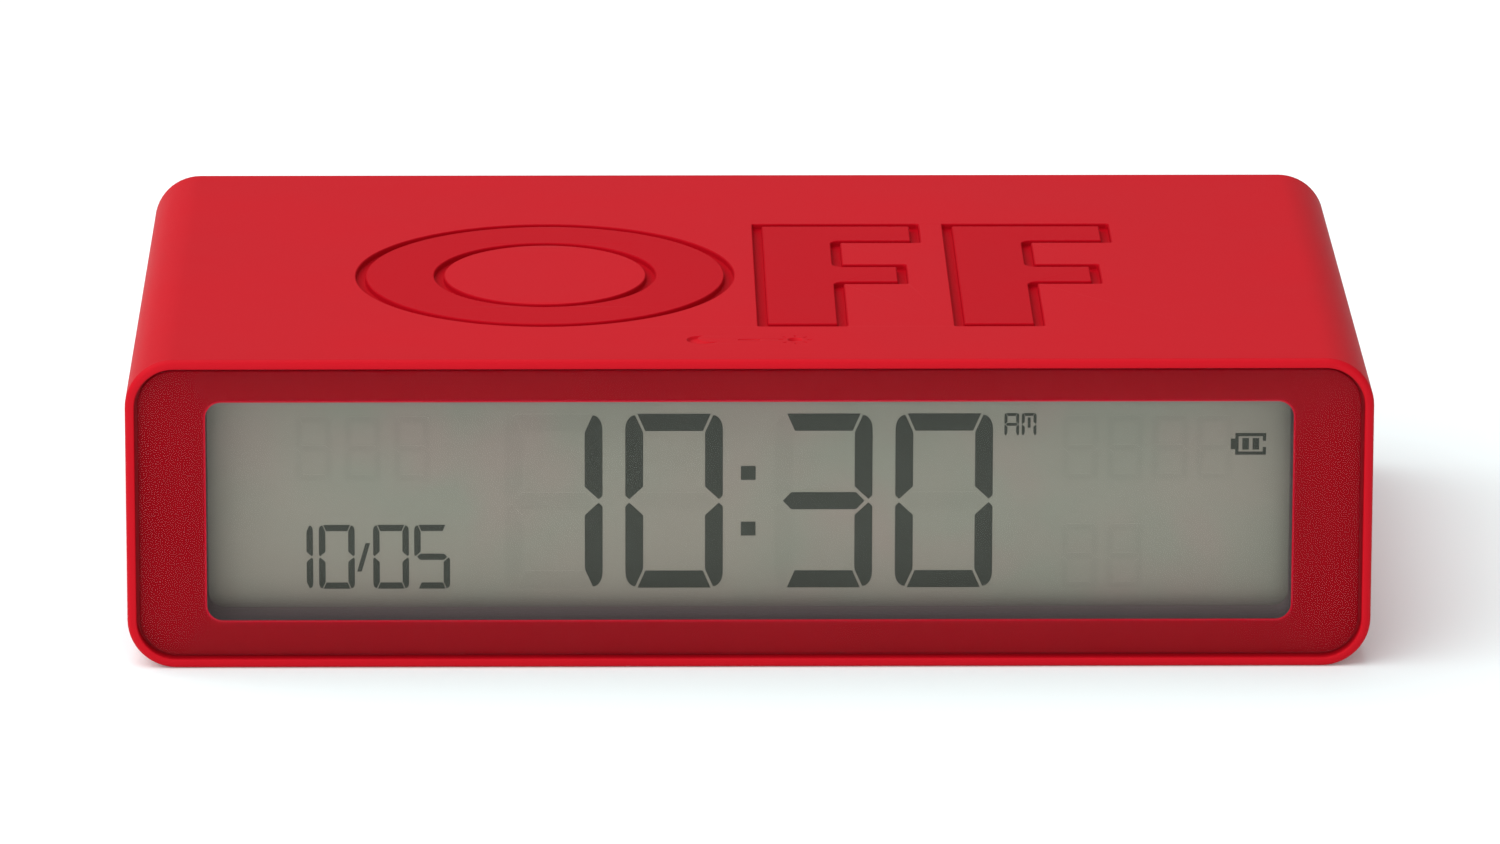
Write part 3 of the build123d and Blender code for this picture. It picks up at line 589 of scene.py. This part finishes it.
cell_low, cell_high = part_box("battery_cell")
MINUS_END, PLUS_END = cell_low[0] / MM, cell_high[0] / MM
BAND_LENGTH = 12.0
LINE_FROM, LINE_TO = 12.4, 12.9
BARE_LENGTH = 0.35

jacket = Paint("cell_jacket")
along_cell = jacket.axis("X")
band = along_cell > PLUS_END - BAND_LENGTH
edge_line = (along_cell > PLUS_END - LINE_TO) * (along_cell < PLUS_END - LINE_FROM)
bare = (along_cell < MINUS_END + BARE_LENGTH) + (along_cell > PLUS_END - BARE_LENGTH)
scuff = jacket.noise(1.2, detail=4.0)
print_colour = jacket.blend(band, (0.012, 0.013, 0.016), (0.55, 0.26, 0.11))
print_colour = jacket.blend(edge_line, print_colour, (0.75, 0.74, 0.70))
dress(jacket.finish(
    Base_Color=jacket.blend(bare, print_colour, (0.66, 0.65, 0.62)),
    Metallic=(band * 0.8).at_least(bare),
    Roughness=0.24 + 0.18 * scuff), "battery_cell")
dress(metal("cell_steel", (0.68, 0.67, 0.65), roughness=0.25), "battery_cap")

# Rear cover and door ----------------------------------------------------------------------------
# ABS mouldings in the red of the sleeve, a quarter of a millimetre below the rear lip, with a fine
# spark-eroded texture. Cross-head screws hold the cover in the casing's corner blocks.

COVER_RED = (0.45, 0.0035, 0.0115)

spark_texture = {"grain_mm": 0.22, "grain_depth_mm": 0.03, "clouds": 0.05, "specular": 0.16}
dress(moulded("cover_plastic", COVER_RED, roughness=0.5, **spark_texture), "rear_cover", "battery_door")
dress(metal("screw_steel", (0.42, 0.42, 0.43), roughness=0.32),
      "cover_screws", "board_screws", "button_board_screws", "bay_screws")

# Buttons ----------------------------------------------------------------------------------------
# Four round caps, moulded glossier than the cover, each with a sunk mark that is filled with pale
# paint: minus, plus, a dot in a ring for the alarm and a triangle for setting.

MARK_DEPTHS = (0.12, 0.2)
MARK_RADIUS = 1.7
MARK_PAINT = (0.80, 0.74, 0.70)

for button in BUTTON_NAMES:
    low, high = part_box("button_" + button)
    cap = Paint("button_" + button)
    depth = high[1] / MM - cap.axis("Y")
    off_x = cap.axis("X") - (low[0] + high[0]) / 2 / MM
    off_z = cap.axis("Z") - (low[2] + high[2]) / 2 / MM
    in_mark = (off_x ** 2 + off_z ** 2) ** 0.5 < MARK_RADIUS
    sunk_mark = (depth > MARK_DEPTHS[0]) * (depth < MARK_DEPTHS[1]) * in_mark
    worn = cap.noise(0.4)
    dress(cap.finish(
        Base_Color=cap.blend(sunk_mark, COVER_RED, MARK_PAINT),
        Roughness=0.28 + 0.14 * worn,
        Specular_IOR_Level=0.35,
        Normal=cap.bump(worn, 0.006)), "button_" + button)

# Rubber sleeve ----------------------------------------------------------------------------------
# One piece of silicone rubber with a soft-touch finish, stretched over the casing. Its lips stand
# proud of the window and the rear cover. A rounded groove outlines the word on each broad face.

SLEEVE_HALF = (43.0, 27.0, 11.0)
WALL = 0.65
OUTER_CORNER = 3.4
LIP_ROUND = 0.4
LIP_INNER_ROUND = 0.12
LEGEND_HEIGHT = 29.6
LEGEND_STROKE = 6.4
LEGEND_MIDDLE = -3.0
OVAL_SHARE = 0.455
OVAL_POINTS = 128
ARM = LEGEND_STROKE * 0.9


def lip_path():
    """How far in from the outside, and how far along, the sleeve's skin runs, from inside to outside."""
    front = -SLEEVE_HALF[1]
    inner = [(WALL - LIP_INNER_ROUND * (1 - math.cos(turn)), front + LIP_INNER_ROUND * (1 - math.sin(turn)))
             for turn in quarter(4)]
    outer = [(LIP_ROUND * (1 - math.sin(turn)), front + LIP_ROUND * (1 - math.cos(turn)))
             for turn in quarter(8)]
    return inner + outer


def oval(middle_x, inset):
    """An oval of the O, pulled in by an inset."""
    half_width, half_height = LEGEND_HEIGHT * OVAL_SHARE - inset, LEGEND_HEIGHT / 2 - inset
    angles = [2 * math.pi * step / OVAL_POINTS for step in range(OVAL_POINTS)]
    return [(middle_x + half_width * math.cos(angle), LEGEND_MIDDLE + half_height * math.sin(angle))
            for angle in angles]


def straight_letter(corners, left, inset, tightest=0.08, roundness=0.25, steps=4):
    """A straight-sided letter, pulled in by an inset and rounded. Its corners run anticlockwise."""
    base = [Vector((left + x, LEGEND_MIDDLE - LEGEND_HEIGHT / 2 + y)) for x, y in corners]
    outline = []
    for place, here in enumerate(base):
        along_in = (here - base[place - 1]).normalized()
        along_out = (base[(place + 1) % len(base)] - here).normalized()
        turn = math.atan2(along_in.cross(along_out), along_in.dot(along_out))
        inward = Vector((-along_in.y, along_in.x)) + Vector((-along_out.y, along_out.x))
        corner = here + inward.normalized() * inset / math.cos(turn / 2)
        radius = max(roundness - inset * 0.2, tightest) if turn > 0 else tightest + inset
        reach = radius * math.tan(abs(turn) / 2)
        start, side = corner - along_in * reach, Vector((-along_in.y, along_in.x)) * (1 if turn > 0 else -1)
        centre = start + side * radius
        for step in range(steps + 1):
            swing = turn * step / steps
            arm = -side * radius
            outline.append((centre.x + arm.x * math.cos(swing) - arm.y * math.sin(swing),
                            centre.y + arm.x * math.sin(swing) + arm.y * math.cos(swing)))
    return outline


def letter_f_corners():
    stroke, height, width = LEGEND_STROKE, LEGEND_HEIGHT, LEGEND_STROKE * 1.9
    low, high = (height - ARM) / 2, (height + ARM) / 2
    return [(0, 0), (stroke, 0), (stroke, low), (width * 0.9, low), (width * 0.9, high), (stroke, high),
            (stroke, height - ARM), (width, height - ARM), (width, height), (0, height)]


def letter_n_corners():
    stroke, height, width = LEGEND_STROKE, LEGEND_HEIGHT, LEGEND_STROKE * 4
    foot = stroke * 1.2
    slope = height / (width - foot)
    return [(0, 0), (stroke, 0), (stroke, height - stroke * slope), (width - foot, 0), (width, 0),
            (width, height), (width - stroke, height), (width - stroke, stroke * slope),
            (foot, height), (0, height)]


def groove_profile(width=0.86, depth=0.42, round_off=0.09, steps=3):
    """Insets and depths across a groove, from the edge of a letter to the pad that it runs round."""
    turns = quarter(steps)
    brow = [(round_off * math.sin(turn), round_off * (1 - math.cos(turn))) for turn in turns]
    foot = [(round_off * (2 - math.cos(turn)), depth - round_off * (1 - math.sin(turn))) for turn in turns]
    near = brow + foot
    return near + [(width - inset, down) for inset, down in reversed(near)]


def patch(mesh, loops, slot=0):
    """Fills the area between a loop of points and the loops inside it."""
    points = [vertex for loop in loops for vertex in loop]
    for corners in tessellate_polygon([[vertex.co for vertex in loop] for loop in loops]):
        mesh.faces.new([points[corner] for corner in corners]).material_index = slot


def sink(mesh, place, outline, island=None, profile=groove_profile(), slot=1):
    """Sinks a profile along a letter, whose shapes give points for an inset, and returns its rim."""
    walls = []
    for side, shape in ((1, outline), (-1, island)):
        if shape:
            rings = [[mesh.verts.new(place(x, y, depth)) for x, y in shape(side * inset)]
                     for inset, depth in profile]
            skirt(mesh, rings, 2 * slot)
            walls.append(rings)
    patch(mesh, [rings[-1] for rings in walls], slot)
    for rings in walls[1:]:
        patch(mesh, [rings[0]])
    return walls[0][0]


def crescent(middle_x, inset, radius=1.15, bite=0.95, shift=(0.65, 0.35), steps=14):
    """A small moon: a disc less a smaller one, whose arcs meet in two tips."""
    radius, bite = radius - inset, bite + inset
    away, heading = math.hypot(*shift), math.atan2(shift[1], shift[0])
    open_outer = math.acos((radius ** 2 + away ** 2 - bite ** 2) / (2 * radius * away))
    open_inner = math.acos((bite ** 2 + away ** 2 - radius ** 2) / (2 * bite * away))
    points = []
    for step in range(steps + 1):
        angle = heading + open_outer + (2 * math.pi - 2 * open_outer) * step / steps
        points.append((middle_x + radius * math.cos(angle), SYMBOL_Y + radius * math.sin(angle)))
    inner_x, inner_y = middle_x + shift[0], SYMBOL_Y + shift[1]
    for step in range(1, steps):
        angle = heading + math.pi + open_inner - 2 * open_inner * step / steps
        points.append((inner_x + bite * math.cos(angle), inner_y + bite * math.sin(angle)))
    return points


def bar_or_disc(middle_x, inset, half_width, half_height, turn=0.0, away=0.0, points=4):
    """A small bar, or a disc if it has many points, turned and set off from the symbol's middle."""
    outline = []
    for step in range(points):
        angle = 2 * math.pi * (step + 0.5) / points
        stretch = math.sqrt(2) if points == 4 else 1.0
        x = (half_width - inset) * stretch * math.cos(angle) + away
        y = (half_height - inset) * stretch * math.sin(angle)
        outline.append((middle_x + x * math.cos(turn) - y * math.sin(turn),
                        SYMBOL_Y + x * math.sin(turn) + y * math.cos(turn)))
    return outline


SYMBOL_Y = -SLEEVE_HALF[1] + 5.6
SYMBOL_X = 3.2
RAYS = 8
SYMBOL_WALL = [(0.0, 0.0), (0.03, 0.01), (0.07, 0.18)]


def symbols():
    """A moon for snooze, a dash, and a rayed disc for the light."""
    yield lambda inset: crescent(-SYMBOL_X, inset)
    yield lambda inset: bar_or_disc(0, inset, 0.8, 0.15)
    yield lambda inset: bar_or_disc(SYMBOL_X, inset, 0.55, 0.55, points=24)
    for ray in range(RAYS):
        turn = 2 * math.pi * ray / RAYS
        yield lambda inset, turn=turn: bar_or_disc(SYMBOL_X, inset, 0.2, 0.11, turn=turn, away=1.0)


def top_place(x, y, depth):
    return Vector((x, y, 2 * SLEEVE_HALF[2] - depth)) * MM


def bottom_place(x, y, depth):
    return Vector((-x, y, depth)) * MM


mesh = bmesh.new()
half_path = lip_path()
path = half_path + [(inset, -y) for inset, y in reversed(half_path)]
rings = [[mesh.verts.new(Vector((x, y, z)) * MM)
          for x, z in rounded_ring(SLEEVE_HALF[0] - inset, SLEEVE_HALF[2] - inset, OUTER_CORNER - inset)]
         for inset, y in path]
corner = CORNER_STEPS + 1
flats = (corner * 4 - 1, corner * 2 - 1)
for number, ring in enumerate(rings):
    after_ring = rings[(number + 1) % len(rings)]
    for step in range(len(ring)):
        after = (step + 1) % len(ring)
        if not (number == len(half_path) - 1 and step in flats):
            mesh.faces.new((ring[step], ring[after], after_ring[after], after_ring[step]))
front_ring, back_ring = rings[len(half_path) - 1], rings[len(half_path)]
F_LEFTS, O_MIDDLE, N_LEFT = (0.6, 14.3), -14.2, 1.6
words = (
    (top_place, flats[0], O_MIDDLE, [(letter_f_corners(), left) for left in F_LEFTS]),
    (bottom_place, flats[1], O_MIDDLE - 1.0, [(letter_n_corners(), N_LEFT)]),
)
for place, flat, o_middle, letters in words:
    after = (flat + 1) % len(front_ring)
    rims = [sink(mesh, place, lambda inset: oval(o_middle, inset),
                 lambda inset: oval(o_middle, LEGEND_STROKE + inset))]
    rims += [sink(mesh, place, lambda inset: straight_letter(corners, left, inset))
             for corners, left in letters]
    rims += [sink(mesh, place, symbol, profile=SYMBOL_WALL, slot=0) for symbol in symbols()]
    patch(mesh, [[front_ring[flat], front_ring[after], back_ring[after], back_ring[flat]], *rims])

RUBBER_RED = (0.48, 0.0022, 0.0100)


def silicone(name, colour, sheen=0.09):
    """Soft-touch rubber: hardly any sheen, a grain too fine to see, and faint traces of handling."""
    paint = Paint(name)
    speckle = paint.noise(0.10, detail=2.0)
    handling = paint.noise(13.0, detail=3.0)
    return paint.finish(
        Base_Color=paint.blend(handling, tinted(colour, 0.96), tinted(colour, 1.04)),
        Roughness=0.5 + 0.08 * handling + 0.06 * speckle,
        Specular_IOR_Level=sheen,
        Normal=paint.bump(speckle, 0.006))


sleeve_rubber = silicone("sleeve_rubber", RUBBER_RED)
sleeve = finished("rubber_sleeve", mesh, sleeve_rubber, smooth=True)
sleeve.data.materials.append(silicone("pad_rubber", tinted(RUBBER_RED, 0.90), sheen=0.05))
# The grooves' walls and floors take a darker copy of the rubber, as painted shade in the recesses.
sleeve.data.materials.append(silicone("groove_rubber_painted_shade", tinted(RUBBER_RED, 0.82), sheen=0.02))
shading = sleeve.modifiers.new("flat faces stay flat", "WEIGHTED_NORMAL")
shading.weight = 100
shading.keep_sharp = True
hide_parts("outer_sleeve")

# Studio -----------------------------------------------------------------------------------------
# A round table of pale paper, lit a little from below so that it stays white, under a broad soft box
# above and to the left and a wide low one in front, in a white room.

FLOOR_RADIUS = 4.0
FLOOR_POINTS = 96

mesh = bmesh.new()
turns = [2 * math.pi * step / FLOOR_POINTS for step in range(FLOOR_POINTS)]
mesh.faces.new([mesh.verts.new((FLOOR_RADIUS * math.cos(turn), FLOOR_RADIUS * math.sin(turn), 0.0))
                for turn in turns])
paper = Paint("pale_paper")
floor_data = bpy.data.meshes.new("studio_floor")
mesh.to_mesh(floor_data)
mesh.free()
floor_data.materials.append(paper.finish(
    Base_Color=(0.85, 0.93, 0.935, 1.0),
    Roughness=0.9,
    Specular_IOR_Level=0.1,
    Emission_Color=(1.0, 1.0, 1.0, 1.0),
    Emission_Strength=0.07))
floor = bpy.data.objects.new("studio_floor", floor_data)
bpy.context.scene.collection.objects.link(floor)


def soft_box(name, width, height, place, watts):
    """A rectangular lamp that faces the clock."""
    data = bpy.data.lights.new(name, "AREA")
    data.shape = "RECTANGLE"
    data.size = width
    data.size_y = height
    data.energy = watts
    lamp = bpy.data.objects.new(name, data)
    lamp.location = place
    lamp.rotation_euler = (Vector((0, 0, 0.01)) - Vector(place)).to_track_quat("-Z", "Y").to_euler()
    bpy.context.scene.collection.objects.link(lamp)


soft_box("overhead_box", 1.9, 1.7, (-0.50, -0.08, 0.95), 20.5)
soft_box("front_box", 1.2, 0.40, (-0.15, -1.10, 0.25), 5.0)

world = bpy.data.worlds.new("studio")
bpy.context.scene.world = world
world.use_nodes = True
world.node_tree.nodes["Background"].inputs["Color"].default_value = (1, 1, 1, 1)
world.node_tree.nodes["Background"].inputs["Strength"].default_value = 0.37
bpy.context.scene.view_settings.view_transform = "Standard"

# Camera -----------------------------------------------------------------------------------------
# A long lens, fifteen degrees above the table and a shade to the left of the middle.

DISTANCE = 0.7335
ELEVATION = math.radians(15.02)
TURN = math.radians(0.848)
ROLL = math.radians(0.13)

AIM_HEIGHT = 0.0176
SENSOR_WIDTH = 36.0
FOCAL_LENGTH = 255.9

aim = Vector((0.0, cad_bounds[0][1], AIM_HEIGHT))
level = math.cos(ELEVATION)
away = Vector((-math.sin(TURN) * level, -math.cos(TURN) * level, math.sin(ELEVATION)))
camera_data = bpy.data.cameras.new("camera")
camera_data.sensor_width = SENSOR_WIDTH
camera_data.lens = FOCAL_LENGTH
camera = bpy.data.objects.new("camera", camera_data)
camera.matrix_world = (Matrix.Translation(aim + away * DISTANCE)
                       @ (-away).to_track_quat("-Z", "Y").to_matrix().to_4x4()
                       @ Matrix.Rotation(ROLL, 4, "Z"))
bpy.context.scene.collection.objects.link(camera)
bpy.context.scene.camera = camera
